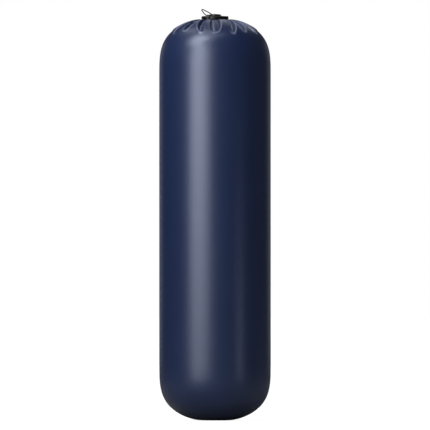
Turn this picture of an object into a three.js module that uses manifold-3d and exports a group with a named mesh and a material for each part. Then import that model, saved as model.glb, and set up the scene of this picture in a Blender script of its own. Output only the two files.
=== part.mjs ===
// An inflatable fender: a pleated cover of coated fabric round an air bladder, closed by a valve and its cap.
// Millimetres, +Z up. The origin is the middle of the foot, the body's axis is Z, and the front faces -Y.
import * as THREE from 'three';
import { mergeVertices } from 'three/addons/utils/BufferGeometryUtils.js';
import Module from 'manifold-3d';

const wasm = await Module();
wasm.setup();

// Clearances
const seatGap = 0.3; // between pieces that rest on each other
const bladderGap = 0.5; // between the bladder and the cover
const sealGap = 0.2; // between a seal ring and the bore that it wipes
const ringGap = 0.4; // between the neck and the rings that slip over it

// Cover
const bodyDiameter = 300;
const bodyHeight = 1078;
const fabricWall = 1.6;
const crownRadius = 36; // flat ground under the valve's flange
const crownDepth = 151; // from the crown down to the straight side
const footRadius = 36; // flat spot that the fender stands on
const footDepth = 152;
const shoulderFullness = 3.5; // exponents of the shoulder's curve, along the axis and across it
const shoulderRoundness = 1.65;

// Pleats of the gathered mouth
const pleatCount = 16;
const pleatStart = 38;
const pleatDepth = 9.5;
const pleatRim = 1.6;
const pleatShare = 0.34; // half width of a pocket, as a share of the pitch
// How each gather was drawn in by hand, from +X counter-clockwise: how far its outer end leans and how much
// further it slants at the mouth, in degrees, its width beside the others, and its reach from the axis.
const pleatLean = [0, 2, -1, 1.5, 0, -2, 0.5, -1.5, 0, 4.5, 0, 4.5, 1, 1.5, -2, -3.5];
const pleatSlant = [0, -5, 4, -6, 3, 7, -4, 5, 0, 1, -9, -17, -2, 16, 10, 0];
const pleatBreadth = [0.8, 1, 0.9, 1.1, 0.85, 1, 1.15, 0.9, 0.8, 0.85, 0.8, 0.87, 1.2, 0.7, 0.75, 0.8];
const pleatReach = [110, 126, 119, 124, 121, 127, 122, 118, 110, 122, 116, 119, 120, 122, 119, 123];
const mouthSpread = 0.35; // how much wider a pocket's angle is at the mouth than at its outer end
const sideRoundness = 2.6; // exponents of a pocket's outline, across it and along it
const endRoundness = 4;
const bowlRoundness = 0.6; // exponent of its section: small for steep walls and a flat floor
const rimPlace = 1.15; // of the rim's ridge and its spread, where the pocket's edge is 1
const rimSpread = 0.3;
const mouthRun = 0.12; // share of a pocket's length in which it sinks from the mouth, and its rim rises
const rimRun = 0.4;

// Valve body
const flangeRadius = 36.4;
const flangeThickness = 9.7;
const flangeEdge = 2.6;
const neckRadius = 20;
const neckLength = 22; // below the crown
const throatRadius = 12.5;
const gripCount = 4; // hollows round the flange for the fitting spanner
const gripTurn = Math.PI / 3; // from +X to the first of them
const gripRadius = 16;
const gripDepth = 1.4;
const spiderThickness = 2.5;
const spiderHeight = 5; // from the neck's end up to the spider
const portInner = 4.2;
const portOuter = 10.6;
const portCount = 3;
const spokeAngle = 0.5;

// Rings clamped under the cover
const ringRadius = 30;
const gasketThickness = 1.3;
const collarThickness = 1.2;
const washerThickness = 2.5;
const nutThickness = 6.5;
const nutRadius = 28;
const pocketClearance = 1.5; // round the clamped rings, and below the open disc

// Poppet, its spring and button
const stemRadius = 1.5;
const stemClearance = 0.3;
const discRadius = 17;
const discThickness = 2.2;
const poppetTravel = 5;
const sealRingWidth = 3.6;
const sealRingThickness = 2.2;
const buttonRadius = 4.5;
const buttonThickness = 2.8;
const buttonRoof = 0.9;
const springLength = 9.6;
const springRadius = 3.4;
const springWire = 0.4; // radius
const springTurns = 5;

// Cap, its seal and cord
const capRadius = 16.5;
const capRim = 2.7;
const capDome = 2.3;
const spigotRadius = 12;
const spigotLength = 8.6;
const grooveHeight = 4; // from the cap's underside down to the seal's middle
const sealTube = 0.8; // radius of the seal's section
const lugReach = 27.3; // from the axis
const lugHalfWidth = 5.5;
const lugThickness = 3;
const cordRadius = 1.4;
const cordHoleGap = 0.3;

// Heights that follow from the stack of pieces
const crown = bodyHeight;
const flangeBottom = crown + seatGap;
const flangeTop = flangeBottom + flangeThickness;
const neckEnd = crown - neckLength;
const gasketTop = crown - fabricWall - seatGap;
const collarTop = gasketTop - gasketThickness - seatGap;
const washerTop = collarTop - collarThickness - seatGap;
const nutTop = washerTop - washerThickness - seatGap;
const spiderBottom = neckEnd + spiderHeight;
const spiderTop = spiderBottom + spiderThickness;
const sealTop = neckEnd - seatGap;
const discTop = sealTop - sealRingThickness - seatGap;
const discBottom = discTop - discThickness;
const springBottom = spiderTop + seatGap;
const buttonBottom = springBottom + springLength + seatGap;
const buttonTop = buttonBottom + buttonThickness;
const stemTop = buttonTop - buttonRoof - seatGap;
const pocketFloor = discBottom - poppetTravel - pocketClearance;
const capBottom = flangeTop + seatGap;

// Faces round each round form, and rows of faces over the cover's shoulders
const coverColumns = 8 * pleatCount;
const footSteps = 5;
const crownSteps = 11;
const smoothSegments = 40;
const smallSegments = 24;

// Hands a closed three.js geometry over as a solid that can be joined and cut.
function solid(geometry) {
  const plain = geometry.clone();
  plain.deleteAttribute('normal');
  plain.deleteAttribute('uv');
  const merged = mergeVertices(plain, 1e-4);
  const corners = Uint32Array.from(merged.index.array);
  const positions = Float32Array.from(merged.attributes.position.array);
  return new wasm.Manifold(new wasm.Mesh({ numProp: 3, vertProperties: positions, triVerts: corners }));
}

// Hands a joined or cut solid back as a three.js geometry.
function geometryOf(manifold) {
  const mesh = manifold.getMesh();
  const geometry = new THREE.BufferGeometry();
  geometry.setAttribute('position', new THREE.BufferAttribute(mesh.vertProperties, 3));
  geometry.setIndex(new THREE.BufferAttribute(mesh.triVerts, 1));
  return geometry;
}

// Turns an outline of [radius, height] points round the Z axis.
function turned(outline, segments = smallSegments) {
  const points = outline.map(([radius, height]) => new THREE.Vector2(radius, height));
  return new THREE.LatheGeometry(points, segments).rotateX(Math.PI / 2);
}

// A flat ring: its outline closes on itself.
function ring(inner, outer, bottom, thickness, segments = smallSegments) {
  const top = bottom + thickness;
  return turned([[inner, bottom], [outer, bottom], [outer, top], [inner, top], [inner, bottom]], segments);
}

// An upright rod, or a prism with few segments.
function rod(radius, bottom, top, segments = smallSegments) {
  const geometry = new THREE.CylinderGeometry(radius, radius, top - bottom, segments);
  return geometry.rotateX(Math.PI / 2).translate(0, 0, (bottom + top) / 2);
}

// A quarter circle of outline points round a corner, from one angle to another.
function rounded(radius, height, bend, from, to, steps = 4) {
  return Array.from({ length: steps + 1 }, (_, step) => {
    const angle = from + ((to - from) * step) / steps;
    return [radius + bend * Math.cos(angle), height + bend * Math.sin(angle)];
  });
}

function piece(name, geometry, colour, roughness, metalness = 0) {
  const material = new THREE.MeshStandardMaterial({ color: colour, roughness, metalness });
  const mesh = new THREE.Mesh(geometry, material);
  mesh.name = name;
  return mesh;
}

// The shoulder between a flat end and the straight side, from side to end, as points with outward normals.
function shoulder(flatRadius, depth, steps) {
  const span = bodyDiameter / 2 - flatRadius;
  const at = (turn) => new THREE.Vector2(
    flatRadius + span * Math.cos(turn) ** (2 / shoulderRoundness),
    depth * Math.sin(turn) ** (2 / shoulderFullness),
  );
  const slight = 0.01;
  return Array.from({ length: steps + 1 }, (_, step) => {
    const turn = (Math.PI / 2) * (step / steps);
    const along = at(Math.min(turn + slight, Math.PI / 2)).sub(at(Math.max(turn - slight, 0))).normalize();
    const flat = step === 0 || step === steps;
    const outward = new THREE.Vector2(along.y, -along.x);
    const normal = flat ? new THREE.Vector2(step ? 0 : 1, step ? 1 : 0) : outward;
    return { point: at(flat ? (Math.PI / 2) * Math.sign(step) : turn), normal };
  });
}

// The body's outline from the foot's edge up to the crown's edge.
function bodyOutline() {
  const foot = shoulder(footRadius, footDepth, footSteps).reverse().map(({ point, normal }) => ({
    point: new THREE.Vector2(point.x, footDepth - point.y),
    normal: new THREE.Vector2(normal.x, -normal.y),
  }));
  const top = shoulder(crownRadius, crownDepth, crownSteps).map(({ point, normal }) => ({
    point: new THREE.Vector2(point.x, bodyHeight - crownDepth + point.y),
    normal,
  }));
  return [...foot, ...top];
}

function inset({ point, normal }, distance) {
  return [point.x - normal.x * distance, point.y - normal.y * distance];
}

// How far the gathers push the cloth out along its normal, at an angle round the axis and a radius from it.
// Each gather is a pocket that is open at the mouth and round at its outer end, with a raised rim.
function gather(angle, radius) {
  const pitch = (2 * Math.PI) / pleatCount;
  const hollows = [0];
  const rims = [0];
  for (let index = 0; index < pleatCount; index += 1) {
    const place = index % pleatLean.length;
    const along = (radius - pleatStart) / (pleatReach[place] - pleatStart);
    if (along >= 0) {
      const toMouth = Math.max(0, 1 - along);
      const turn = ((pleatLean[place] + pleatSlant[place] * toMouth) * Math.PI) / 180;
      const offset = angle - index * pitch - turn;
      const swing = Math.atan2(Math.sin(offset), Math.cos(offset));
      const across = swing / (pleatShare * pleatBreadth[place] * pitch * (1 + mouthSpread * toMouth));
      const edge = Math.abs(across) ** sideRoundness + along ** endRoundness;
      hollows.push(Math.max(0, 1 - edge) ** bowlRoundness * Math.min(1, along / mouthRun));
      rims.push(Math.exp(-(((edge - rimPlace) / rimSpread) ** 2)) * Math.min(1, along / rimRun));
    }
  }
  const hollow = Math.max(...hollows);
  return pleatRim * Math.max(...rims) * (1 - hollow) - pleatDepth * hollow;
}

// Cover: one shell of cloth, closed at the foot and open at the mouth, with its gathers under the flange.
function coverGeometry() {
  const mouthRadius = neckRadius + ringGap;
  const body = bodyOutline();
  const cloth = body.map((spot) => ({ at: [spot.point.x, spot.point.y], spot }));
  const lining = body.map((spot) => ({ at: inset(spot, fabricWall), spot })).reverse();
  const outline = [
    { at: [0, 0] },
    ...cloth,
    { at: [mouthRadius, crown] },
    { at: [mouthRadius, crown - fabricWall] },
    ...lining,
    { at: [0, fabricWall] },
  ];
  const positions = [];
  const corners = [];
  const ringStart = (row) => 1 + (row - 1) * coverColumns;
  const lastRow = outline.length - 1;
  outline.forEach(({ at: [radius, height], spot }, row) => {
    const columns = row === 0 || row === lastRow ? 1 : coverColumns;
    for (let column = 0; column < columns; column += 1) {
      const angle = (2 * Math.PI * column) / coverColumns;
      const onTop = spot && spot.point.y > bodyHeight - crownDepth;
      const push = onTop ? gather(angle, spot.point.x) : 0;
      const out = radius + (spot ? spot.normal.x * push : 0);
      const up = height + (spot ? spot.normal.y * push : 0);
      positions.push(out * Math.cos(angle), out * Math.sin(angle), up);
    }
  });
  for (let column = 0; column < coverColumns; column += 1) {
    const next = (column + 1) % coverColumns;
    corners.push(0, ringStart(1) + next, ringStart(1) + column);
    for (let row = 1; row < lastRow - 1; row += 1) {
      const low = ringStart(row);
      const high = ringStart(row + 1);
      corners.push(low + column, low + next, high + next, low + column, high + next, high + column);
    }
    const lastRing = ringStart(lastRow - 1);
    corners.push(ringStart(lastRow), lastRing + column, lastRing + next);
  }
  const geometry = new THREE.BufferGeometry();
  geometry.setAttribute('position', new THREE.Float32BufferAttribute(positions, 3));
  geometry.setIndex(corners);
  return geometry;
}

// Bladder: the sealed bag of air, with a collar of film round the neck and a pocket round the clamped rings.
function bladderGeometry() {
  const pocketRadius = ringRadius + pocketClearance;
  const collarHole = neckRadius + ringGap;
  const besidePleats = fabricWall + bladderGap;
  const underPleats = besidePleats + pleatDepth;
  const pleatEnd = Math.max(...pleatReach) + pleatDepth;
  const outside = bodyOutline().reverse().map((spot) => {
    const onTop = spot.point.y > bodyHeight - crownDepth;
    return inset(spot, onTop && spot.point.x < pleatEnd ? underPleats : besidePleats);
  });
  return turned([
    [0, pocketFloor],
    [pocketRadius, pocketFloor],
    [pocketRadius, collarTop - collarThickness],
    [collarHole, collarTop - collarThickness],
    [collarHole, collarTop],
    [crownRadius - seatGap, collarTop],
    ...outside,
    [0, besidePleats],
  ].reverse(), smallSegments);
}

// Valve body: a round flange on the mouth, a neck down into the bladder, and a spider across the throat.
function valveBodyGeometry() {
  const shell = solid(turned([
    [throatRadius, neckEnd],
    [neckRadius, neckEnd],
    [neckRadius, flangeBottom],
    ...rounded(flangeRadius - 1, flangeBottom + 1, 1, -Math.PI / 2, 0, 2),
    ...rounded(flangeRadius - flangeEdge, flangeTop - flangeEdge, flangeEdge, 0, Math.PI / 2),
    [throatRadius, flangeTop],
    [throatRadius, neckEnd],
  ], smoothSegments));
  const webOverlap = 1;
  const web = solid(rod(throatRadius + webOverlap, spiderBottom, spiderTop));
  let body = shell.add(web).subtract(solid(rod(stemRadius + stemClearance, spiderBottom - 1, spiderTop + 1)));
  for (let port = 0; port < portCount; port += 1) {
    const pitch = (2 * Math.PI) / portCount;
    const from = port * pitch + spokeAngle / 2;
    const to = (port + 1) * pitch - spokeAngle / 2;
    const outline = new THREE.Shape();
    outline.absarc(0, 0, portOuter, from, to, false);
    outline.absarc(0, 0, portInner, to, from, true);
    outline.closePath();
    const depth = spiderThickness + 2;
    const cut = new THREE.ExtrudeGeometry(outline, { depth, bevelEnabled: false, curveSegments: 8 });
    body = body.subtract(solid(cut.translate(0, 0, spiderBottom - 1)));
  }
  for (let grip = 0; grip < gripCount; grip += 1) {
    const angle = gripTurn + (grip * 2 * Math.PI) / gripCount;
    const reach = flangeRadius + gripRadius - gripDepth;
    const cut = rod(gripRadius, flangeBottom - 1, flangeTop + 1, smoothSegments);
    cut.translate(reach * Math.cos(angle), reach * Math.sin(angle), 0);
    body = body.subtract(solid(cut));
  }
  return geometryOf(body);
}

// Nut: six flats outside and a round bore over the neck.
function clampNutGeometry() {
  const blank = solid(rod(nutRadius, nutTop - nutThickness, nutTop, 6));
  const bore = solid(rod(neckRadius + ringGap, nutTop - nutThickness - 1, nutTop + 1, smoothSegments));
  return geometryOf(blank.subtract(bore));
}

// Poppet: a disc under the neck and a stem up through the spider.
function poppetGeometry() {
  return turned([
    [0, discBottom],
    [discRadius, discBottom],
    [discRadius, discTop],
    [stemRadius * 2, discTop],
    [stemRadius, discTop + stemRadius],
    [stemRadius, stemTop],
    [0, stemTop],
  ]);
}

// Button: a small cap over the stem's end, which holds the spring down.
function stemButtonGeometry() {
  const bore = stemRadius + stemClearance;
  const ease = 0.7;
  return turned([
    [0, buttonTop - buttonRoof],
    [bore, buttonTop - buttonRoof],
    [bore, buttonBottom],
    [buttonRadius, buttonBottom],
    [buttonRadius, buttonTop - ease],
    [buttonRadius - ease, buttonTop],
    [0, buttonTop],
  ]);
}

class Helix extends THREE.Curve {
  getPoint(share, target = new THREE.Vector3()) {
    const angle = 2 * Math.PI * springTurns * share;
    const height = springBottom + springWire + share * (springLength - 2 * springWire);
    return target.set(springRadius * Math.cos(angle), springRadius * Math.sin(angle), height);
  }
}

// A round bar along a curve.
function bar(path, radius, sides, steps) {
  const section = new THREE.Shape().absarc(0, 0, radius, 0, 2 * Math.PI);
  const curveSegments = sides / 2; // the full circle is drawn with twice as many
  return new THREE.ExtrudeGeometry(section, { extrudePath: path, steps, curveSegments, bevelEnabled: false });
}

// The pull cord's route, from the lug's tip over the loop's top to the cap's shoulder.
const cordRoute = [
  [-24.6, 0, 11.9],
  [-26.6, -0.5, 13.9],
  [-29.4, -1.7, 16.8],
  [-32.0, -3.2, 20.1],
  [-34.5, -4.8, 23.6],
  [-35.4, -6.2, 26.0],
  [-34.0, -7.4, 27.2],
  [-31.0, -8.5, 26.5],
  [-27.3, -9.7, 24.6],
  [-22.2, -11.2, 22.0],
  [-17.1, -12.6, 19.3],
  [-12.6, -13.6, 16.5],
  [-9.2, -13.7, 14.2],
  [-7.0, -13.2, 12.3],
].map(([x, y, z]) => new THREE.Vector3(x, y, crown + z));

// A hole in the cap for one end of the cord, along the end's own direction.
function cordHole(end, next) {
  const depth = 2.2;
  const length = 8;
  const outward = next.clone().sub(end).normalize();
  const hole = new THREE.CylinderGeometry(cordRadius + cordHoleGap, cordRadius + cordHoleGap, length, 12);
  hole.translate(0, length / 2 - cordHoleGap, 0);
  hole.applyQuaternion(new THREE.Quaternion().setFromUnitVectors(new THREE.Vector3(0, 1, 0), outward));
  return solid(hole.translate(end.x, end.y, end.z)).trimByPlane([0, 0, 1], end.z - depth);
}

// Cap: a low dome that rests on the flange, a spigot with a groove for its seal, and a lug for the cord.
function valveCapGeometry() {
  const grooveRadius = throatRadius - sealGap - 2 * sealTube - cordHoleGap;
  const grooveHalf = sealTube + seatGap;
  const domeTop = capBottom + capRim + capDome;
  const dome = solid(turned([
    [0, capBottom - spigotLength],
    [spigotRadius - 1, capBottom - spigotLength],
    [spigotRadius, capBottom - spigotLength + 1],
    [spigotRadius, capBottom - grooveHeight - grooveHalf],
    [grooveRadius, capBottom - grooveHeight - grooveHalf],
    [grooveRadius, capBottom - grooveHeight + grooveHalf],
    [spigotRadius, capBottom - grooveHeight + grooveHalf],
    [spigotRadius, capBottom],
    [capRadius, capBottom],
    [capRadius, capBottom + capRim - 0.8],
    [capRadius - 0.8, capBottom + capRim],
    [capRadius * 0.7, domeTop - 0.7],
    [capRadius * 0.4, domeTop - 0.1],
    [0, domeTop],
  ], smoothSegments));
  const side = new THREE.Shape();
  side.moveTo(-spigotRadius, capBottom);
  side.lineTo(-spigotRadius, capBottom + lugThickness);
  side.lineTo(-lugReach + 4, capBottom + lugThickness);
  side.quadraticCurveTo(-lugReach, capBottom + lugThickness, -lugReach, capBottom);
  side.closePath();
  const depth = 2 * lugHalfWidth;
  const lug = new THREE.ExtrudeGeometry(side, { depth, bevelEnabled: false, curveSegments: 6 });
  lug.translate(0, 0, -lugHalfWidth).rotateX(Math.PI / 2);
  const last = cordRoute.length - 1;
  const capped = dome.add(solid(lug));
  return geometryOf(capped
    .subtract(cordHole(cordRoute[0], cordRoute[1]))
    .subtract(cordHole(cordRoute[last], cordRoute[last - 1])));
}

// O-ring in the groove of the cap's spigot.
function capSealGeometry() {
  const middle = throatRadius - sealGap - sealTube;
  const seal = new THREE.TorusGeometry(middle, sealTube, 8, smallSegments);
  return seal.translate(0, 0, capBottom - grooveHeight);
}

const cover = piece('outer_cover', coverGeometry(), 0x1c2642, 0.42);
const bladder = piece('bladder', bladderGeometry(), 0x9aa0a6, 0.5);

const ringHole = neckRadius + ringGap;
const gasket = piece(
  'valve_gasket',
  ring(ringHole, ringRadius, gasketTop - gasketThickness, gasketThickness, smoothSegments),
  0x1a1a1a,
  0.8,
);
const washer = piece(
  'slip_washer',
  ring(ringHole, ringRadius, washerTop - washerThickness, washerThickness, smoothSegments),
  0x2b2b2e,
  0.6,
);
const nut = piece('clamp_nut', clampNutGeometry(), 0x141416, 0.5);
const valveBody = piece('valve_body', valveBodyGeometry(), 0x0e0e11, 0.4);

const poppet = piece('poppet', poppetGeometry(), 0xd8d8d4, 0.5);
const poppetSealOuter = discRadius - seatGap;
const poppetSeal = piece(
  'poppet_seal',
  ring(poppetSealOuter - sealRingWidth, poppetSealOuter, sealTop - sealRingThickness, sealRingThickness),
  0x202020,
  0.85,
);
const button = piece('stem_button', stemButtonGeometry(), 0xd8d8d4, 0.5);
const springSteps = 12 * springTurns;
const spring = piece('valve_spring', bar(new Helix(), springWire, 6, springSteps), 0xb8bcc0, 0.3, 1);

const cap = piece('valve_cap', valveCapGeometry(), 0x101013, 0.45);
const capSeal = piece('cap_seal', capSealGeometry(), 0x181818, 0.8);
const cordCurve = new THREE.CatmullRomCurve3(cordRoute);
const cord = piece('pull_cord', bar(cordCurve, cordRadius, 8, 36), 0x121214, 0.8);

const valve = new THREE.Group();
valve.add(valveBody, gasket, washer, nut, poppet, poppetSeal, button, spring);

const closure = new THREE.Group();
closure.add(cap, capSeal, cord);

const fender = new THREE.Group();
fender.add(cover, bladder, valve, closure);

export default fender;
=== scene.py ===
import math
from collections import namedtuple

import bmesh
import bpy
import numpy as np
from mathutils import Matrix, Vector


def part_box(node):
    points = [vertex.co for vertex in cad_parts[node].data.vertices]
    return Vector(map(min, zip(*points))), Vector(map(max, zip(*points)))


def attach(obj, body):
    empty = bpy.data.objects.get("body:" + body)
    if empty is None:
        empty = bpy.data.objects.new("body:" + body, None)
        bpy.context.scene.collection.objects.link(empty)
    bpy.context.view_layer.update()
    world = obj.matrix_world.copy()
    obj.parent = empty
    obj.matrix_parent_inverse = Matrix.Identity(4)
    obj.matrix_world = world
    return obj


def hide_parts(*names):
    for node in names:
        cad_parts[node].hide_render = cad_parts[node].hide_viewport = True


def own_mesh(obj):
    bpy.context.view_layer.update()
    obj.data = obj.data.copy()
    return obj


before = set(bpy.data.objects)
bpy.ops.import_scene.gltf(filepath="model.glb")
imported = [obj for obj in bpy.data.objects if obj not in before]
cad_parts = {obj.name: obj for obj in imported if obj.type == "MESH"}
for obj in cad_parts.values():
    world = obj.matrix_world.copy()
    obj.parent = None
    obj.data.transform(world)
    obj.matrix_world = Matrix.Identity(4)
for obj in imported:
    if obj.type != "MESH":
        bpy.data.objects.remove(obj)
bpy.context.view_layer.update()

# Pull cord.
# A thin laid cord of black polyester, one length. Both ends are moulded into the cap, one in the lug's
# tip and one in the shoulder, so it stands up from the cap as a stiff loop that a finger can hook.
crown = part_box("outer_cover")[1][2]  # height of the gathered mouth, which the valve stands on
cord_diameter = 0.0028
cord_strands = 3
cord_pitch = 0.0075  # of one strand's turn
strand_hollow = 0.2  # depth of the grooves between strands, as a share of the radius
cord_sides = 18
points_per_span = 16
# The middle of the cord from the lug to the shoulder, as X and Y from the axis and height over the crown.
cord_route = [
    (-0.0246, 0, 0.0119),
    (-0.0266, -0.0005, 0.0139),
    (-0.0294, -0.0017, 0.0168),
    (-0.0320, -0.0032, 0.0201),
    (-0.0345, -0.0048, 0.0236),
    (-0.0354, -0.0062, 0.0260),
    (-0.0340, -0.0074, 0.0272),
    (-0.0310, -0.0085, 0.0265),
    (-0.0273, -0.0097, 0.0246),
    (-0.0222, -0.0112, 0.0220),
    (-0.0171, -0.0126, 0.0193),
    (-0.0126, -0.0136, 0.0165),
    (-0.0092, -0.0137, 0.0142),
    (-0.0070, -0.0132, 0.0123),
]


def smooth_path(points):
    """Points of a curve that passes through every given point."""
    knots = np.array([points[0], *points, points[-1]], float)
    knots[0] = 2 * knots[1] - knots[2]
    knots[-1] = 2 * knots[-2] - knots[-3]
    t = np.linspace(0, 1, points_per_span, endpoint=False)[:, None]
    spans = []
    for before, start, end, after in zip(knots, knots[1:], knots[2:], knots[3:]):
        bend = 2 * before - 5 * start + 4 * end - after
        twist = 3 * start - before - 3 * end + after
        spans.append(start + 0.5 * ((end - before) * t + bend * t**2 + twist * t**3))
    return np.vstack([*spans, knots[-2][None]])


def lengths_along(points):
    """How far along a line of points each of them is."""
    return np.concatenate([[0], np.cumsum(np.linalg.norm(np.diff(points, axis=0), axis=1))])


def mesh_object(name, vertices, faces, sharp_angle=None):
    """A new object at the origin from points and faces, shaded smooth up to an angle."""
    mesh = bpy.data.meshes.new(name)
    mesh.from_pydata([tuple(v) for v in vertices], [], faces)
    mesh.polygons.foreach_set("use_smooth", [True] * len(mesh.polygons))
    if sharp_angle is not None:
        mesh.set_sharp_from_angle(angle=math.radians(sharp_angle))
    mesh.update()
    piece = bpy.data.objects.new(name, mesh)
    bpy.context.scene.collection.objects.link(piece)
    return piece


def ring_faces(rings, sides, first=0):
    """Faces that join each ring of points to the next ring."""
    return [
        (low + s, low + (s + 1) % sides, low + sides + (s + 1) % sides, low + sides + s)
        for low in range(first, first + (rings - 1) * sides, sides)
        for s in range(sides)
    ]


def laid_cord(name, path):
    """A closed tube along a path, with the grooves between its laid strands winding round it."""
    run = lengths_along(path)
    tangents = np.gradient(path, run, axis=0)
    tangents /= np.linalg.norm(tangents, axis=1)[:, None]
    side = np.cross(tangents[0], (0, 1, 0))
    points = []
    for centre, tangent, along in zip(path, tangents, run):
        side = side - tangent * side.dot(tangent)
        side /= np.linalg.norm(side)
        other = np.cross(tangent, side)
        for step in range(cord_sides):
            angle = 2 * math.pi * step / cord_sides
            lobe = abs(math.cos(cord_strands / 2 * (angle - 2 * math.pi * along / cord_pitch)))
            radius = cord_diameter / 2 * (1 - strand_hollow + strand_hollow * lobe**0.6)
            points.append(centre + radius * (math.cos(angle) * side + math.sin(angle) * other))
    faces = ring_faces(len(path), cord_sides)
    faces.append(tuple(reversed(range(cord_sides))))
    faces.append(tuple(range(len(points) - cord_sides, len(points))))
    return mesh_object(name, points, faces)


cord_path = smooth_path([(x, y, z + crown) for x, y, z in cord_route])
pull_cord = laid_cord("laid_pull_cord", cord_path)


class Maths:
    """A shader socket that can be used in ordinary expressions."""

    def __init__(self, shader, socket):
        self.shader = shader
        self.socket = socket

    def _do(self, operation, *values):
        return self.shader.add("ShaderNodeMath", {"operation": operation}, *values)

    def __add__(self, other):
        return self._do("ADD", self, other)

    def __radd__(self, other):
        return self._do("ADD", other, self)

    def __sub__(self, other):
        return self._do("SUBTRACT", self, other)

    def __rsub__(self, other):
        return self._do("SUBTRACT", other, self)

    def __mul__(self, other):
        return self._do("MULTIPLY", self, other)

    def __rmul__(self, other):
        return self._do("MULTIPLY", other, self)

    def __truediv__(self, other):
        return self._do("DIVIDE", self, other)

    def __rtruediv__(self, other):
        return self._do("DIVIDE", other, self)

    def __pow__(self, other):
        return self._do("POWER", self, other)

    def sin(self):
        return self._do("SINE", self)

    def clamp(self):
        return self.shader.add("ShaderNodeClamp", {}, self, 0.0, 1.0)


class Shader:
    """A material under construction: add makes any node, and finish feeds the surface."""

    def __init__(self, name, **constants):
        self.material = bpy.data.materials.new(name)
        self.material.use_nodes = True
        self.tree = self.material.node_tree
        self.surface = self.tree.nodes["Principled BSDF"]
        for socket, value in constants.items():
            self.surface.inputs[socket.replace("_", " ")].default_value = value

    def add(self, kind, settings, *inputs, out=None, **named):
        """A node of a kind, with its settings made first and then the values or links of its sockets. What
        comes back is its first output, or the one that out names."""
        node = self.tree.nodes.new(kind)
        for setting, value in settings.items():
            setattr(node, setting, value)
        sockets = [s for s in node.inputs if s.enabled]
        for socket, value in zip(sockets, inputs):
            self.feed(socket, value)
        for label, value in named.items():
            self.feed(next(s for s in sockets if s.name == label), value)
        outputs = [s for s in node.outputs if s.enabled and out in (None, s.name)]
        return Maths(self, outputs[0])

    def feed(self, socket, value):
        if isinstance(value, Maths):
            self.tree.links.new(value.socket, socket)
        else:
            socket.default_value = value

    def place(self):
        """Object coordinates, in metres."""
        return self.add("ShaderNodeTexCoord", {}, out="Object")

    def part(self, vector, axis):
        return self.add("ShaderNodeSeparateXYZ", {}, vector, out=axis)

    def mark(self, label):
        """A value that the mesh carries at each of its points."""
        return self.add("ShaderNodeAttribute", {"attribute_name": label}, out="Fac")

    def noise(self, where, scale, detail=2.0, roughness=0.5):
        settings = {"Vector": where, "Scale": scale, "Detail": detail, "Roughness": roughness}
        return self.add("ShaderNodeTexNoise", {}, **settings)

    def mix(self, share, low, high):
        return self.add("ShaderNodeMix", {"data_type": "RGBA"}, share, low, high)

    def bump(self, height, distance, strength=1.0, normal=None):
        named = {"Strength": strength, "Distance": distance, "Height": height}
        if normal is not None:
            named["Normal"] = normal
        return self.add("ShaderNodeBump", {}, **named)

    def finish(self, **feeds):
        for socket, value in feeds.items():
            self.feed(self.surface.inputs[socket.replace("_", " ")], value)
        return self.material


def linear(*screen):
    """A screen colour, 0 to 255, as the linear colour that a shader takes."""
    shares = [value / 255 for value in screen]
    return (*[s / 12.92 if s <= 0.04045 else ((s + 0.055) / 1.055) ** 2.4 for s in shares], 1.0)


def cord_finish():
    shader = Shader("black_polyester_cord", Roughness=0.75, Specular_IOR_Level=0.25)
    place = shader.place()
    fibre = shader.noise(place, 2400.0, 3.0)
    colour = shader.mix(fibre, linear(6, 6, 8), linear(20, 20, 23))
    return shader.finish(Base_Color=colour, Normal=shader.bump(fibre, 0.00015, 0.6))


pull_cord.data.materials.append(cord_finish())
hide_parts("pull_cord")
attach(pull_cord, "cap")

# Outer cover.
# A sewn bag of satin-coated navy fabric, blown tight by the bladder inside it. Its mouth is gathered under
# the valve's flange, which leaves a ring of round-ended pockets with a tucked fold down the middle of each.
cover_low, cover_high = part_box("outer_cover")
cover_radius = (cover_high[0] - cover_low[0]) / 2
fabric_wall = 0.0016
crown_radius = 0.036
crown_depth = 0.151
foot_radius = 0.036
foot_depth = 0.152
shoulder_fullness = 3.5
shoulder_roundness = 1.65
mouth_radius = 0.0204
pleat_start = 0.038  # from the axis
pleat_share = 0.34  # half width of a pocket, as a share of the pitch
mouth_spread = 0.35  # how much wider a pocket's angle is at the mouth than at its outer end
arch_sides = 2.6  # how square a pocket's outline is from side to side
arch_end = 4  # how square it is at its outer end
least_slope = 40  # of the outline's formula for each metre, which keeps a pocket's middle smooth
pocket_depth = 0.0086
pocket_wall = 0.0055  # over which a pocket falls to its floor
pocket_rim = 0.0026
rim_offset = 0.0012  # from the pocket's outline to the crest of its rim
rim_width = 0.0016
fold_height = 0.0058
fold_width = 0.0026
shelf_step = 0.004  # over which the floor rises beyond the fold
shade_step = 0.005  # over which the light reaches the floor beyond the fold
land_puff = 0.0016  # how far the cloth swells beside the flange
puff_radius = 0.058
puff_width = 0.026
pucker_height = 0.0004
unevenness = 0.00012
cover_columns = 560
crown_rows = 116
side_rows = 5
foot_rows = 20
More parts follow.
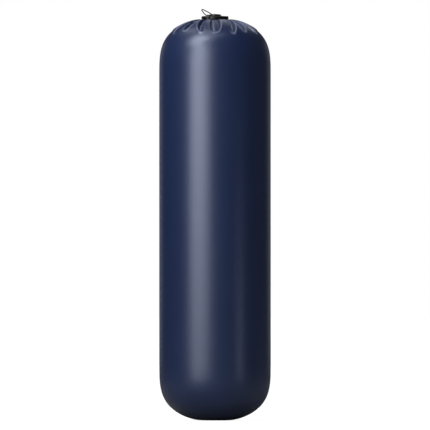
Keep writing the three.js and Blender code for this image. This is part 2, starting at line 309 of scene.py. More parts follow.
# One row for each gather, from the right side round by the back. lean is how far its outer end leans, and
# slant how much further it leans at the mouth, in degrees. breadth is its width beside the others' and reach
# is its outer end's distance from the axis. The tucked fold crosses the pocket at the mouth and at the outer
# end, from one wall at -1 to the other at 1. shelf is how much shallower the pocket is beyond that fold, and
# proud is which of its walls stands out more and gets the brighter painted highlight on its rim.
Pleat = namedtuple("Pleat", "lean slant breadth reach fold_at_mouth fold_at_end shelf proud")
pleats = [
    Pleat(0, 0, 0.8, 0.110, 0.2, 0.1, 0.2, 0.3),  # right side
    Pleat(2, -5, 1, 0.126, -0.3, 0.1, 0.4, -0.5),
    Pleat(-1, 4, 0.9, 0.119, 0.1, -0.2, 0, 0.6),
    Pleat(1.5, -6, 1.1, 0.124, -0.1, 0.2, 0.3, -0.2),
    Pleat(0, 3, 0.85, 0.121, 0.3, 0, 0.1, 0.5),  # back
    Pleat(-2, 7, 1, 0.127, -0.2, -0.1, 0.5, -0.6),
    Pleat(0.5, -4, 1.15, 0.122, 0, 0.2, 0.2, 0.4),
    Pleat(-1.5, 5, 0.9, 0.118, 0.25, 0, 0, 0),
    Pleat(0, 0, 0.8, 0.110, -0.1, -0.1, 0.3, -0.4),  # left side
    Pleat(4.5, 1, 0.85, 0.122, 0.2, 0, 0.2, -0.9),
    Pleat(0, -9, 0.8, 0.116, 0.3, -0.2, 0.1, -0.2),
    Pleat(4.5, -17, 0.87, 0.119, 0.7, -0.35, 0.1, -1),
    Pleat(1, -2, 1.2, 0.120, -0.6, -0.2, 0.5, 1),  # front
    Pleat(1.5, 16, 0.7, 0.122, 0.6, -0.25, 0.3, 1),
    Pleat(-2, 10, 0.75, 0.119, 0.4, -0.1, 0.2, 0.4),
    Pleat(-3.5, 0, 0.8, 0.123, -0.2, 0, 0.1, 0.5),
]


def shoulder_curve(turns, flat_radius, depth):
    """Radius and height past the end of the straight side: the side at 0, the flat end at a quarter turn."""
    span = cover_radius - flat_radius
    radii = flat_radius + span * np.cos(turns) ** (2 / shoulder_roundness)
    heights = depth * np.sin(turns) ** (2 / shoulder_fullness)
    return np.stack([radii, heights], axis=1)


def cover_profile(crown_steps, foot_steps):
    """The cover's outline from near the middle of the foot up to the mouth, as radius and height."""
    def turns(steps, start=0.0):
        share = np.linspace(start, 1, steps + 1)
        return np.clip(share * math.pi / 2, 1e-6, math.pi / 2 - 1e-6)

    foot = shoulder_curve(turns(foot_steps), foot_radius, foot_depth)[::-1]
    foot[:, 1] = foot_depth - foot[:, 1]
    below_pleats = turns(crown_steps // 2)
    below_pleats = below_pleats[below_pleats < 0.2 * math.pi / 2]
    top = shoulder_curve(np.concatenate([below_pleats, turns(crown_steps, 0.2)]), crown_radius, crown_depth)
    top[:, 1] += crown - crown_depth
    side = np.linspace(foot[-1], top[0], side_rows + 1)[1:-1]
    hem = [(radius, crown) for radius in np.linspace(crown_radius, mouth_radius, 5)[1:]]
    spot = [(radius, 0.0) for radius in np.linspace(0, foot_radius, 5)[1:-1]]
    return np.vstack([spot, foot, side, top, hem])


def outward(profile):
    """Unit normals of an outline that runs up the outside."""
    along = np.gradient(profile, axis=0)
    normals = np.stack([along[:, 1], -along[:, 0]], axis=1)
    return normals / np.linalg.norm(normals, axis=1)[:, None]


def ease(values, low, high):
    share = np.clip((values - low) / (high - low), 0, 1)
    return share * share * (3 - 2 * share)


def bell(values, middle, width):
    return np.exp(-(((values - middle) / width) ** 2))


def past_outline(across, inside, half_breadth, length):
    """How far points are outside a pocket's arched outline, in metres, and below 0 inside it."""
    level = np.abs(across) ** arch_sides + inside**arch_end
    slope_across = arch_sides * np.abs(across) ** (arch_sides - 1) / half_breadth
    slope_along = arch_end * inside ** (arch_end - 1) / length
    return (level - 1) / np.sqrt(slope_across**2 + slope_along**2 + least_slope**2)


def gather(angle, radius):
    """How far the cloth stands out along its normal, how much highlight is painted on its rims and folds and
    how much shade is painted in its hollows, at angles round the axis and radii from it."""
    pitch = 2 * math.pi / len(pleats)
    layers = np.zeros((4, *(angle + radius).shape))
    for index, pleat in enumerate(pleats):
        length = pleat.reach - pleat_start
        along = (radius - pleat_start) / length
        inside = np.clip(along, 0, None)
        to_mouth = np.clip(1 - inside, 0, None)
        turn = np.radians(pleat.lean + pleat.slant * to_mouth)
        swing = (angle - index * pitch - turn + math.pi) % (2 * math.pi) - math.pi
        half_angle = pleat_share * pitch * pleat.breadth * (1 + mouth_spread * to_mouth)
        across = swing / half_angle
        beyond = past_outline(across, inside, half_angle * radius, length)
        floor_fall = 0.3 * ease(along, -0.02, 0.1) + 0.7 * ease(along, 0.05, 0.4)
        bowl = ease(-beyond, 0, pocket_wall) * floor_fall
        fold_line = pleat.fold_at_end + (pleat.fold_at_mouth - pleat.fold_at_end) * to_mouth
        from_fold = (across - fold_line) * half_angle * radius
        fold = np.exp(-(np.abs(from_fold / fold_width) ** 1.2)) * bowl
        shelf = 1 - pleat.shelf * ease(from_fold, 0, shelf_step)
        uneven = 0.55 + 0.45 * pleat.proud * np.clip(1.6 * across, -1, 1)
        uneven = uneven + 0.12 * np.sin(9 * inside + 2.3 * index)
        hollow = pocket_depth * bowl * shelf - fold_height * fold
        rim = bell(beyond, rim_offset, rim_width) * ease(along, 0.15, 0.7) * uneven
        # Painted highlight along each pocket's rim, brighter on its proud wall, and along its tucked fold.
        painted_highlight = np.maximum(rim, 0.7 * fold * ease(along, 0.05, 0.3))
        # Painted shade over the pocket's floor, fading beyond the fold where the light reaches it.
        painted_shade = bowl * (1 - fold) * (1 - 0.6 * ease(from_fold, 0, shade_step))
        near = (np.abs(swing) < 1.3 * pitch) & (along > -0.02)
        layers = np.maximum(layers, np.where(near, [hollow, rim, painted_highlight, painted_shade], 0))
    hollow, rim, painted_highlight, painted_shade = layers
    puff = land_puff * bell(radius, puff_radius, puff_width) * ease(radius, 0.0368, 0.044)
    return puff + pocket_rim * rim * (1 - ease(hollow, 0, 0.002)) - hollow, painted_highlight, painted_shade


def puckers(angle, radius, height):
    """Small puckers that run out from the mouth, and the slow unevenness of stretched cloth."""
    small = np.sin(71 * angle + 9 * np.sin(3 * angle)) * np.sin(43 * angle + 2)
    fade = ease(radius, pleat_start, 0.045) * (1 - ease(radius, 0.05, 0.105))
    slow = np.sin(3 * angle + 7 * height) * np.sin(11 * height + 2 * np.sin(angle))
    top = height > crown - crown_depth
    return np.where(top, pucker_height * small * fade, 0) + unevenness * slow


def rings_of_points(profile, push):
    """Points on rings round the axis, each pushed out along the outline's normal."""
    angles = 2 * math.pi * np.arange(cover_columns) / cover_columns
    normals = outward(profile)
    out = profile[:, :1] + normals[:, :1] * push
    up = profile[:, 1:] + normals[:, 1:] * push
    points = np.stack([out * np.cos(angles), out * np.sin(angles), up + 0 * angles], axis=2)
    return points.reshape(-1, 3)


def pleated_cover():
    """One closed shell: the cloth's outside from the foot up to the mouth, then its lining back down."""
    angles = 2 * math.pi * np.arange(cover_columns)[None, :] / cover_columns
    outside = cover_profile(crown_rows, foot_rows)
    radius, height = outside[:, :1], outside[:, 1:]
    in_crown = height > crown - crown_depth
    loose = (height > 0.004) & ((radius > pleat_start) | ~in_crown)
    push, painted_highlight, painted_shade = (np.where(in_crown, layer, 0) for layer in gather(angles, radius))
    outer = rings_of_points(outside, np.where(loose, push + puckers(angles, radius, height), 0))

    inside = cover_profile(crown_rows // 8, foot_rows // 2)[::-1]
    radius, height = inside[:, :1], inside[:, 1:]
    under_pleats = (height > crown - crown_depth) & (radius > crown_radius)
    bowls = pocket_depth * (1 - ease(radius, 0.128, 0.14)) * ease(radius, crown_radius, 0.04)
    inner = rings_of_points(inside, fabric_wall + np.where(under_pleats, bowls, 0) + 0 * angles)

    points = [(0, 0, 0), *outer, *inner, (0, 0, fabric_wall)]
    rings = len(outside) + len(inside)
    last_ring = 1 + (rings - 1) * cover_columns
    faces = ring_faces(rings, cover_columns, first=1)
    for column in range(cover_columns):
        after = (column + 1) % cover_columns
        faces.append((0, 1 + after, 1 + column))
        faces.append((len(points) - 1, last_ring + column, last_ring + after))
    shell = mesh_object("pleated_cover", points, faces)

    run = lengths_along(outside)[:, None] + 0 * angles
    # The painted highlight and the painted shade go to the cloth's colour as attributes on the shell's
    # points.
    for label, values in (("painted_highlight", painted_highlight), ("painted_shade", painted_shade), ("run", run)):
        layer = np.zeros(len(points))
        layer[1 : 1 + values.size] = values.ravel()
        shell.data.attributes.new(label, "FLOAT", "POINT").data.foreach_set("value", layer)
    return shell


thread_spacing = 0.0016  # of the weave, which shows through the coating
twill_spacing = 0.0095  # of the faint diagonal ribs


def cover_finish():
    """Satin-coated woven cloth: threads that cross under the coating, with a highlight painted paler along
    the ridges of the gathers and shade painted darker in their hollows."""
    shader = Shader("navy_coated_fabric", Specular_IOR_Level=1.0, Specular_Tint=(0.77, 0.83, 1.0, 1))
    place = shader.place()
    across, deep = shader.part(place, "X"), shader.part(place, "Y")
    around = shader.add("ShaderNodeMath", {"operation": "ARCTAN2"}, deep, across) * cover_radius
    run, ridge, hollow = (shader.mark(label) for label in ("run", "painted_highlight", "painted_shade"))
    thread = 2 * math.pi / thread_spacing
    weave = (around * thread).sin() * (run * thread).sin() * 0.5 + 0.5
    bias = 2 * math.pi / twill_spacing
    twill = (around * bias + run * bias).sin() + (around * bias - run * bias).sin()
    grain = shader.noise(place, 1400.0, 3.0, 0.6)
    mottle = shader.noise(place, 9.0, 4.0, 0.6)
    colour = shader.mix(mottle, linear(20, 34, 67), linear(24, 38, 73))
    colour = shader.mix(weave * 0.08, colour, linear(38, 50, 84))
    # Painted shade: the pockets' hollows are darkened, less so beyond the tucked fold.
    colour = shader.mix(hollow * 0.9, colour, linear(9, 17, 44))
    # Painted highlight: the rims and folds of the gathers are lightened where they would catch the light.
    colour = shader.mix(ridge * 0.75, colour, linear(122, 130, 164))
    roughness = 0.3 + mottle * 0.04 + grain * 0.04 + hollow * 0.3
    soft = shader.bump(grain, 0.0002, 0.2)
    cloth = shader.bump(weave, 0.0001, 0.12, normal=soft)
    normal = shader.bump(twill, 0.0001, 0.12, normal=cloth)
    return shader.finish(Base_Color=colour, Roughness=roughness, Normal=normal)


cover = pleated_cover()
cover.data.materials.append(cover_finish())
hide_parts("outer_cover")
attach(cover, "fender")

# Bladder.
# The airtight bag of grey film-coated cloth that holds the air, out of sight inside the cover. Its collar
# is clamped to the valve's neck.


def dress(node, material):
    """Gives a piece of the frame a finish."""
    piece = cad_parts[node]
    piece.data.materials.clear()
    piece.data.materials.append(material)


def bladder_finish():
    shader = Shader("grey_bladder_film", Roughness=0.5)
    place = shader.place()
    haze = shader.noise(place, 30.0, 4.0)
    colour = shader.mix(haze, linear(150, 155, 158), linear(172, 176, 178))
    return shader.finish(Base_Color=colour, Normal=shader.bump(haze, 0.0005, 0.3))


dress("bladder", bladder_finish())

# Valve body.
# One black moulding: a round flange that clamps the gathered mouth, with hollows in its edge for the
# fitting spanner, a threaded neck below it, and a spider across the throat that guides the poppet's stem.
seat_gap = 0.0003  # between pieces that rest on each other
throat_radius = 0.0125
neck_radius = 0.020
thread_height = 0.0009  # of the ridge wound on the neck
neck_seam = 0.0165  # radius on the neck's end face where its outline starts
neck_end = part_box("valve_body")[0][2]
flange_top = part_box("valve_body")[1][2]
flange_bottom = crown + seat_gap
flange_radius = 0.0364
flange_round = 0.003  # of its upper edge
bead_radius = 0.021  # of the raised bead round the cap
bead_height = 0.0006
grip_count = 4
grip_turn = math.pi / 3  # from +X to the first of them
grip_radius = 0.016
grip_depth = 0.0014
grip_inner = 0.026  # radius on the flange's faces where the hollows fade out
hub_radius = 0.0042
hub_bore = 0.0018
spoke_count = 3
spoke_half_width = 0.0016
turn_segments = 144


def softened(outline, bend, steps=4):
    """An outline with its inner corners rounded off. A corner may carry its own bend as a third number."""
    points = [np.array(corner[:2], float) for corner in outline]
    bends = [corner[2] if len(corner) > 2 else bend for corner in outline]
    rounded = [points[0]]
    for before, corner, after, reach in zip(points, points[1:], points[2:], bends[1:]):
        back, ahead = before - corner, after - corner
        start = corner + back * min(reach / np.linalg.norm(back), 0.45)
        end = corner + ahead * min(reach / np.linalg.norm(ahead), 0.45)
        for share in np.linspace(0, 1, steps + 1):
            rounded.append((1 - share) ** 2 * start + 2 * share * (1 - share) * corner + share**2 * end)
    return [*rounded, points[-1]]


def turned(name, outline, segments=turn_segments, edge=None, sharp_angle=50):
    """A closed shape turned round the Z axis. Its outline runs up the outside and ends on the axis, or where
    it began. edge gives the radius at an angle from the radius in the outline."""
    on_axis = outline[0][0] < 1e-9
    rows = outline if on_axis else outline[:-1]
    vertices, starts = [], []
    for radius, height in rows:
        starts.append(len(vertices))
        count = 1 if radius < 1e-9 else segments
        for step in range(count):
            angle = 2 * math.pi * step / segments
            out = edge(radius, angle) if edge else radius
            vertices.append((out * math.cos(angle), out * math.sin(angle), height))
    faces = []
    pairs = list(zip(range(len(rows) - 1), range(1, len(rows))))
    if not on_axis:
        pairs.append((len(rows) - 1, 0))
    for low, high in pairs:
        for step in range(segments):
            after = (step + 1) % segments
            low_pole, high_pole = rows[low][0] < 1e-9, rows[high][0] < 1e-9
            a, b = starts[low] + (0 if low_pole else step), starts[low] + (0 if low_pole else after)
            c, d = starts[high] + (0 if high_pole else after), starts[high] + (0 if high_pole else step)
            face = tuple(dict.fromkeys((a, b, c, d)))
            if len(face) > 2:
                faces.append(face)
    return mesh_object(name, vertices, faces, sharp_angle)


def flange_edge(radius, angle):
    """The flange's edge, with its spanner hollows, and the plain radius everywhere else."""
    centre = flange_radius + grip_radius - grip_depth
    pitch = 2 * math.pi / grip_count
    swing = (angle - grip_turn + pitch / 2) % pitch - pitch / 2
    across = centre * math.sin(swing)
    if abs(across) >= grip_radius:
        return radius
    hollow = centre * math.cos(swing) - math.sqrt(grip_radius**2 - across**2)
    share = (radius - grip_inner) / (flange_radius - flange_round - grip_inner)
    return radius - max(0, flange_radius - hollow) * min(1, max(0, share))


def merged(name, *pieces):
    """One mesh from several closed shells."""
    form = bmesh.new()
    for piece in pieces:
        form.from_mesh(piece.data)
        bpy.data.objects.remove(piece)
    mesh = bpy.data.meshes.new(name)
    form.to_mesh(mesh)
    form.free()
    whole = bpy.data.objects.new(name, mesh)
    bpy.context.scene.collection.objects.link(whole)
    return whole


def wound_wire_tree(name):
    """Geometry nodes that wind a round wire into a helix standing on the XY plane."""
    tree = bpy.data.node_groups.new(name, "GeometryNodeTree")
    sockets = {}
    for label, kind in (("Radius", "Float"), ("Height", "Float"), ("Turns", "Float"), ("Wire", "Float")):
        sockets[label] = tree.interface.new_socket(label, in_out="INPUT", socket_type=f"NodeSocket{kind}")
    sockets["Finish"] = tree.interface.new_socket("Finish", in_out="INPUT", socket_type="NodeSocketMaterial")
    tree.interface.new_socket("Geometry", in_out="OUTPUT", socket_type="NodeSocketGeometry")
    inputs = tree.nodes.new("NodeGroupInput")
    outputs = tree.nodes.new("NodeGroupOutput")
    helix = tree.nodes.new("GeometryNodeCurveSpiral")
    helix.inputs["Resolution"].default_value = 40
    section = tree.nodes.new("GeometryNodeCurvePrimitiveCircle")
    section.inputs["Resolution"].default_value = 10
    wire = tree.nodes.new("GeometryNodeCurveToMesh")
    wire.inputs["Fill Caps"].default_value = True
    whole = tree.nodes.new("GeometryNodeRealizeInstances")
    finish = tree.nodes.new("GeometryNodeSetMaterial")
    for source, target in (
        (inputs.outputs["Radius"], helix.inputs["Start Radius"]),
        (inputs.outputs["Radius"], helix.inputs["End Radius"]),
        (inputs.outputs["Height"], helix.inputs["Height"]),
        (inputs.outputs["Turns"], helix.inputs["Rotations"]),
        (inputs.outputs["Wire"], section.inputs["Radius"]),
        (helix.outputs[0], wire.inputs["Curve"]),
        (section.outputs[0], wire.inputs["Profile Curve"]),
        (wire.outputs[0], whole.inputs[0]),
        (whole.outputs[0], finish.inputs["Geometry"]),
        (inputs.outputs["Finish"], finish.inputs["Material"]),
        (finish.outputs[0], outputs.inputs[0]),
    ):
        tree.links.new(source, target)
    return tree, {label: socket.identifier for label, socket in sockets.items()}


winding, winding_inputs = wound_wire_tree("wound_wire")


def made_by(name, tree, identifiers, settings, base=0.0):
    """The plain mesh that a tree makes with its inputs set, raised to a base height."""
    mesh = bpy.data.meshes.new(name)
    piece = bpy.data.objects.new(name, mesh)
    bpy.context.scene.collection.objects.link(piece)
    modifier = piece.modifiers.new("form", "NODES")
    modifier.node_group = tree
    for label, value in settings.items():
        modifier[identifiers[label]] = value
    bpy.context.view_layer.update()
    result = bpy.data.meshes.new_from_object(piece.evaluated_get(bpy.context.evaluated_depsgraph_get()))
    piece.modifiers.remove(modifier)
    piece.data = result
    for vertex in result.vertices:
        vertex.co.z += base
    result.polygons.foreach_set("use_smooth", [True] * len(result.polygons))
    return piece


def moulded_finish(name, dark, light, roughness, shine=0.5):
    """Moulded plastic: a fine spark-eroded grain, and faint flow marks that also vary its roughness."""
    shader = Shader(name, Specular_IOR_Level=shine)
    place = shader.place()
    grain = shader.noise(place, 5200.0, 2.0)
    flow = shader.noise(place, 160.0, 3.0)
    colour = shader.mix(flow, linear(*dark), linear(*light))
    normal = shader.bump(grain, 0.00006, 0.5)
    return shader.finish(Base_Color=colour, Roughness=roughness + flow * 0.12, Normal=normal)


black_moulding = moulded_finish("black_moulding", (9, 9, 12), (17, 17, 21), 0.32, 0.3)


def spoke(index, low, high):
    """One arm of the spider, from inside the hub to inside the throat's wall."""
    angle = 2 * math.pi * index / spoke_count
    along = Vector((math.cos(angle), math.sin(angle), 0))
    side = Vector((-math.sin(angle), math.cos(angle), 0)) * spoke_half_width
    start, end = hub_bore + 0.0008, throat_radius + 0.0006
    corners = [
        along * out + side * hand + Vector((0, 0, level))
        for level in (low, high)
        for out, hand in ((start, -1), (end, -1), (end, 1), (start, 1))
    ]
    faces = [(3, 2, 1, 0), (4, 5, 6, 7), (0, 1, 5, 4), (1, 2, 6, 5), (2, 3, 7, 6), (3, 0, 4, 7)]
    return mesh_object(f"spoke_{index}", corners, faces)


def valve_body():
    face = flange_top - bead_height
    relief = neck_radius - thread_height
    body = turned("flange_and_neck", softened([
        (neck_seam, neck_end),
        (relief, neck_end),
        (relief, flange_bottom - 0.003),
        (neck_radius, flange_bottom - 0.002),
        (neck_radius, flange_bottom),
        (flange_radius, flange_bottom, 0.0012),
        (flange_radius, face, flange_round),
        (bead_radius + 0.0025, face),
        (bead_radius + 0.0015, flange_top),
        (bead_radius - 0.0015, flange_top),
        (bead_radius - 0.0025, face),
        (throat_radius + 0.0012, face),
        (throat_radius, face - 0.0012),
        (throat_radius, neck_end),
        (neck_seam, neck_end),
    ], 0.0004), edge=flange_edge)
    spider_bottom = neck_end + 0.005
    spider_top = spider_bottom + 0.0025
    hub = turned("hub", softened([
        (hub_bore, spider_bottom),
        (hub_radius, spider_bottom),
        (hub_radius, spider_top),
        (hub_bore, spider_top),
        (hub_bore, spider_bottom),
    ], 0.0003), segments=48)
    spokes = [spoke(index, spider_bottom, spider_top) for index in range(spoke_count)]
    thread = made_by("thread", winding, winding_inputs, {
        "Radius": neck_radius - 0.0008,
        "Height": 0.016,
        "Turns": 8.0,
        "Wire": 0.0007,
        "Finish": black_moulding,
    }, neck_end + 0.001)
    return merged("valve_moulding", body, hub, *spokes, thread)


def settle(piece, node, body, material):
    """Gives a finished piece its material and its place in the frame, and hides the node that it stands for.
    """
    piece.data.materials.clear()
    piece.data.materials.append(material)
    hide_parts(node)
    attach(piece, body)


settle(valve_body(), "valve_body", "fender", black_moulding)

# Rings clamped under the cover.
# A rubber gasket, a loose plastic ring and a six-sided nut on the neck pull the cover's hem and the
# bladder's collar up against the flange. The gasket seals, and the ring lets the nut turn freely.


def rubber_finish():
    shader = Shader("black_rubber", Roughness=0.8, Specular_IOR_Level=0.3)
    bloom = shader.noise(shader.place(), 400.0, 3.0)
    colour = shader.mix(bloom, linear(20, 20, 21), linear(38, 38, 39))
    return shader.finish(Base_Color=colour, Normal=shader.bump(bloom, 0.0001, 0.4))


black_rubber = rubber_finish()
grey_moulding = moulded_finish("grey_moulding", (40, 40, 43), (54, 54, 58), 0.45)
neck_bore = neck_radius + 0.0004  # of the pieces round the neck


def flat_ring(name, node, bore, bend):
    """A turned ring that fills its node's box down to its bore, with softened edges."""
    low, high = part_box(node)
    bottom, top, outer = low[2], high[2], high[0]
    middle = (bore + outer) / 2
    outline = [(middle, bottom), (outer, bottom), (outer, top), (bore, top), (bore, bottom), (middle, bottom)]
    return turned(name, softened(outline, bend), segments=96)


gasket = flat_ring("rubber_gasket", "valve_gasket", neck_bore, 0.0004)
settle(gasket, "valve_gasket", "fender", black_rubber)
slip_ring = flat_ring("slip_ring", "slip_washer", neck_bore, 0.0005)
settle(slip_ring, "slip_washer", "fender", grey_moulding)

nut_round = 0.0235  # radius inside the six flats, where the nut is round
nut_seam = 0.0222  # radius on the nut's lower face where its outline starts
nut_chamfer = 0.985  # radius of the nut's turned corners, as a share of the full corners'


def six_sided(radius, angle):
    """The nut's six flats at an angle, and the plain radius inside them."""
    if radius < nut_round:
        return radius
    swing = angle % (math.pi / 3) - math.pi / 6
    flat = radius * math.cos(math.pi / 6) / math.cos(swing)
    return min(flat, radius * nut_chamfer)


def nut():
    low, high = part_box("clamp_nut")
    corner, bottom, top = high[1], low[2], high[2]
    return turned("clamping_nut", softened([
        (nut_seam, bottom),
        (corner, bottom, 0.0012),
        (corner, top, 0.0012),
        (neck_bore, top),
        (neck_bore, bottom),
        (nut_seam, bottom),
    ], 0.0005), edge=six_sided)


settle(nut(), "clamp_nut", "fender", black_moulding)

# Poppet, its seal and its button.
# An off-white moulded disc below the neck carries a rubber ring and a stem that passes up through the
# spider. The button snapped on the stem's end is what the pump's nozzle or a finger presses.
off_white_moulding = moulded_finish("off_white_moulding", (206, 206, 200), (222, 222, 217), 0.4)
disc_thickness = 0.0022
stem_radius = 0.0015
poppet_ring_width = 0.0036
button_bore = 0.0018
button_roof = 0.0009


def poppet():
    low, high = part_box("poppet")
    bottom, disc_top, disc_radius = low[2], low[2] + disc_thickness, high[0]
    return turned("disc_and_stem", softened([
        (0, bottom),
        (0.0125, bottom),
        (0.0135, bottom + 0.0004),
        (disc_radius, bottom + 0.0004, 0.0005),
        (disc_radius, disc_top, 0.0005),
        (stem_radius * 2, disc_top, 0.001),
        (stem_radius, disc_top + stem_radius, 0.001),
        (stem_radius, high[2], 0.0004),
        (0, high[2]),
    ], 0.0003), segments=96)


def stem_button():
    low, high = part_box("stem_button")
    bottom, top, side = low[2], high[2], high[0]
    roof = top - button_roof
    return turned("press_button", softened([
        (0, roof),
        (button_bore, roof),
        (button_bore, bottom),
        (side, bottom),
        (side, top, 0.0011),
        (0, top),
    ], 0.0003), segments=64)


settle(poppet(), "poppet", "poppet", off_white_moulding)
poppet_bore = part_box("poppet_seal")[1][0] - poppet_ring_width
poppet_ring = flat_ring("poppet_ring", "poppet_seal", poppet_bore, 0.0009)
settle(poppet_ring, "poppet_seal", "poppet", black_rubber)
settle(stem_button(), "stem_button", "poppet", off_white_moulding)

# Valve spring.
# A coil of stainless wire between the spider and the button. It holds the disc up against the neck's end,
# and is squeezed when the button is pressed.


def spring_finish():
    shader = Shader("spring_wire", Metallic=1.0, Roughness=0.28)
    drawn = shader.noise(shader.place(), 3000.0, 2.0)
    colour = shader.mix(drawn, linear(168, 172, 176), linear(205, 208, 210))
    return shader.finish(Base_Color=colour, Normal=shader.bump(drawn, 0.00003, 0.4))


spring_wire = spring_finish()
spring_low, spring_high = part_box("valve_spring")
wire_radius = 0.0004
spring = made_by("coil_spring", winding, winding_inputs, {
    "Radius": 0.0034,
    "Height": spring_high[2] - spring_low[2] - 2 * wire_radius,
    "Turns": 5.0,
    "Wire": wire_radius,
    "Finish": spring_wire,
}, spring_low[2] + wire_radius)
settle(spring, "valve_spring", "fender", spring_wire)
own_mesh(spring)

# Valve cap and its seal.
# A black push-in cap: a low dome on the flange, a hollow spigot with an O-ring down the throat, and a lug
# at one side for a finger. The pull cord's ends sit in two holes in it.
cap_low, cap_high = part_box("valve_cap")
cap_bottom = flange_top + seat_gap
cap_radius = 0.0165
cap_rim = 0.0027
cap_top = cap_high[2]
spigot_radius = 0.012
spigot_inner = 0.0098
spigot_bottom = cap_low[2]
spigot_roof = spigot_bottom + 0.0055
groove_radius = 0.0104
groove_half = 0.0011
seal_height = cap_bottom - 0.004
lug_reach = -cap_low[0]
lug_root = 0.010
lug_half_width = 0.0055
lug_thickness = 0.003
lug_tip = 0.0004
lug_arch = 0.004  # length over which the lug falls to its tip
lug_edge = 0.0007
bar_length = 0.006  # of the round bar that cuts a hole for the cord
cord_lead = 6  # points of the cord's path that give the direction of its end


def lug():
    """The cap's side lug: flat below, arched down to a thin tip, with its edges eased."""
    rise = lug_thickness - lug_tip
    arch = [
        (-lug_reach + lug_arch * (1 - math.sin(turn)), cap_bottom + lug_tip + rise * math.sin(turn))
        for turn in np.linspace(0, math.pi / 2, 8)
    ]
    top = cap_bottom + lug_thickness
    side = [(-lug_reach, cap_bottom), *arch, (-lug_root, top), (-lug_root, cap_bottom)]
    corners = [(x, y, z) for y in (-lug_half_width, lug_half_width) for x, z in side]
    count = len(side)
    faces = [tuple(range(count)), tuple(reversed(range(count, 2 * count)))]
    faces += [(i, i + count, (i + 1) % count + count, (i + 1) % count) for i in range(count)]
    piece = mesh_object("lug", corners, faces)
    form = bmesh.new()
    form.from_mesh(piece.data)
    bmesh.ops.recalc_face_normals(form, faces=form.faces)
    ends = [edge for edge in form.edges if abs(edge.verts[0].co.y - edge.verts[1].co.y) < 1e-9]
    bmesh.ops.bevel(form, geom=ends, offset=lug_edge, segments=3, affect="EDGES", clamp_overlap=True)
    form.to_mesh(piece.data)
    form.free()
    return piece


def cord_hole(end, before_end):
    """A round bar where one end of the cord goes into the cap."""
    bpy.ops.mesh.primitive_cylinder_add(vertices=32, radius=cord_diameter / 2 + 0.0002, depth=bar_length)
    bar = bpy.context.object
    direction = Vector(end - before_end).normalized()
    bar.data.transform(direction.to_track_quat("Z", "Y").to_matrix().to_4x4())
    for vertex in bar.data.vertices:
        vertex.co += Vector(end) - direction * (bar_length / 2 - seat_gap)
    return bar


def shaped(target, operation, other):
    """The mesh of target joined with, or cut by, another closed shape."""
    modifier = target.modifiers.new("shape", "BOOLEAN")
    modifier.operation = operation
    modifier.solver = "EXACT"
    modifier.object = other
    bpy.context.view_layer.update()
    result = bpy.data.meshes.new_from_object(target.evaluated_get(bpy.context.evaluated_depsgraph_get()))
    target.modifiers.remove(modifier)
    target.data = result
    bpy.data.objects.remove(other)
    return target


def valve_cap():
    cap = turned("push_in_cap", softened([
        (0, spigot_roof),
        (spigot_inner - 0.0006, spigot_roof),
        (spigot_inner, spigot_bottom),
        (spigot_radius - 0.0006, spigot_bottom),
        (spigot_radius, spigot_bottom + 0.0012),
        (spigot_radius, seal_height - groove_half),
        (groove_radius, seal_height - groove_half),
        (groove_radius, seal_height + groove_half),
        (spigot_radius, seal_height + groove_half),
        (spigot_radius, cap_bottom),
        (cap_radius, cap_bottom),
        (cap_radius, cap_bottom + cap_rim, 0.0012),
        (cap_radius * 0.72, cap_top - 0.0006, 0.003),
        (cap_radius * 0.3, cap_top, 0.004),
        (0, cap_top),
    ], 0.00025))
    cap = shaped(cap, "UNION", lug())
    cap = shaped(cap, "DIFFERENCE", cord_hole(cord_path[0], cord_path[cord_lead]))
    cap = shaped(cap, "DIFFERENCE", cord_hole(cord_path[-1], cord_path[-1 - cord_lead]))
    cap.data.polygons.foreach_set("use_smooth", [True] * len(cap.data.polygons))
    cap.data.set_sharp_from_angle(angle=math.radians(32))
    return cap


cap_moulding = moulded_finish("cap_moulding", (14, 14, 17), (24, 24, 28), 0.34)
settle(valve_cap(), "valve_cap", "cap", cap_moulding)

seal_low, seal_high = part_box("cap_seal")
seal_tube = (seal_high[2] - seal_low[2]) / 2
seal_middle = seal_high[0] - seal_tube
section = [
    (seal_middle + seal_tube * math.cos(turn), seal_height + seal_tube * math.sin(turn))
    for turn in np.linspace(0, 2 * math.pi, 17)
]
settle(turned("o_ring", section, segments=96), "cap_seal", "cap", black_rubber)

# Camera, light and floor.
# A camera far in front, at the height of the fender's middle, as the photograph was taken. Soft lights at
# its left make the tall highlight, and weaker ones elsewhere draw the edges and fill the shadows. The camera
# sees the floor and the background as white.
frame_height = 1.157  # of the view, at the fender
camera_distance = 40.0
camera_height = 0.5524
sensor_width = 36
camera_data = bpy.data.cameras.new("camera")
camera_data.sensor_width = sensor_width
camera_data.lens = sensor_width * camera_distance / frame_height
camera_data.clip_end = 100
camera = bpy.data.objects.new("camera", camera_data)
camera.location = (0, -camera_distance, camera_height)
camera.rotation_euler = (math.pi / 2, 0, 0)
bpy.context.scene.collection.objects.link(camera)
bpy.context.scene.camera = camera


def soft_light(name, place, target, size, power):
    """A rectangular lamp at a place, turned to a target."""
    data = bpy.data.lights.new(name, "AREA")
    data.shape = "RECTANGLE"
    data.size, data.size_y = size
    data.energy = power
    lamp = bpy.data.objects.new(name, data)
    lamp.location = place
    lamp.rotation_euler = (Vector(target) - Vector(place)).to_track_quat("-Z", "Y").to_euler()
    bpy.context.scene.collection.objects.link(lamp)
    return lamp


def light_at(name, azimuth, distance, bottom, top, width, radiance):
    """An upright soft light facing the axis, at an azimuth from the front: minus is to the camera's left."""
    turn = math.radians(azimuth)
    middle = (bottom + top) / 2
    place = (distance * math.sin(turn), -distance * math.cos(turn), middle)
    power = radiance * math.pi * width * (top - bottom)
    return soft_light(name, place, (0, 0, middle), (width, top - bottom), power)


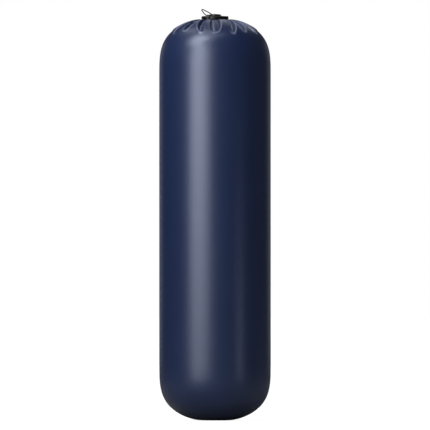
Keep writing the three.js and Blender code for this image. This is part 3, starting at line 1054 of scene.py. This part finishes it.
# The key light's mirror image is the highlight. A wider, weaker light behind it softens its edges, and two
# more carry it down to the foot and over the shoulder.
light_at("key_light", -34.5, 2.3, 0.56, 2.7, 1.15, 3.0)
light_at("key_surround", -31, 2.35, 0.03, 2.7, 1.75, 1.9)
light_at("foot_light", -34, 1.6, 0.01, 0.12, 0.5, 3.0)
soft_light("shoulder_light", (-1.1, -0.98, 2.9), (-0.04, -0.13, 1.03), (1.1, 1.5), 34)
# A low one at the right keeps that side of the foot from going black.
light_at("low_fill", 51, 2.6, 0.01, 0.26, 0.5, 2.6)

# Bluish lights behind the fender draw its edges, and two above pick out the gathers.
left_rim = light_at("left_rim_light", -148, 2.2, 0.1, 1.5, 0.45, 0.5)
right_rim = light_at("right_rim_light", 148, 2.2, 0.1, 1.5, 0.45, 0.4)
for lamp in (left_rim, right_rim):
    lamp.data.color = (0.8, 0.87, 1.0)
soft_light("back_light", (0.2, 1.6, 2.2), (0, 0, 1.05), (1.2, 0.8), 3)
soft_light("overhead_light", (-0.42, 0.2, 2.7), (-0.25, 0, 1.0), (0.45, 2.2), 5)

# Fills that the cloth doesn't mirror keep the sides and the back navy.
for name, azimuth, radiance in (("side_fill", 10, 1.3), ("right_fill", 110, 2.0), ("back_fill", 180, 5.0)):
    light_at(name, azimuth, 2.6, 0.1, 2.0, 1.2, radiance).visible_glossy = False


def studio_floor():
    """A pale matt floor. The camera sees it as white further out, and with the fender's shadow near it."""
    near_glow, far_glow = 0.9, 1.02
    near, fade = 0.2, 0.5
    shader = Shader(
        "floor_white",
        Base_Color=(0.22, 0.22, 0.22, 1),
        Roughness=0.9,
        Specular_IOR_Level=0.1,
        Emission_Strength=1.0,
    )
    place = shader.place()
    across, deep = shader.part(place, "X"), shader.part(place, "Y")
    distance = (across * across + deep * deep) ** 0.5
    seen = shader.add("ShaderNodeLightPath", {}, out="Is Camera Ray")
    glow = near_glow + ((distance - near) / fade).clamp() * (far_glow - near_glow)
    return shader.finish(Emission_Color=seen * glow)


floor_mesh = bpy.data.meshes.new("floor")
floor_mesh.from_pydata([(-30, -6, 0), (30, -6, 0), (30, 40, 0), (-30, 40, 0)], [], [(0, 1, 2, 3)])
floor = bpy.data.objects.new("floor", floor_mesh)
bpy.context.scene.collection.objects.link(floor)
floor_mesh.materials.append(studio_floor())


def studio_world():
    """A background that is white to the camera and nearly dark to everything that it would light."""
    white, faint = 1.0, 0.05
    world = bpy.data.worlds.new("studio")
    world.use_nodes = True
    tree = world.node_tree
    background = tree.nodes["Background"]
    rays = tree.nodes.new("ShaderNodeLightPath")
    strength = tree.nodes.new("ShaderNodeMix")
    strength.data_type = "FLOAT"
    strength.inputs["A"].default_value = faint
    strength.inputs["B"].default_value = white
    tree.links.new(rays.outputs["Is Camera Ray"], strength.inputs["Factor"])
    tree.links.new(strength.outputs["Result"], background.inputs["Strength"])
    background.inputs["Color"].default_value = (1, 1, 1, 1)
    return world


bpy.context.scene.world = studio_world()
bpy.context.scene.view_settings.view_transform = "Standard"
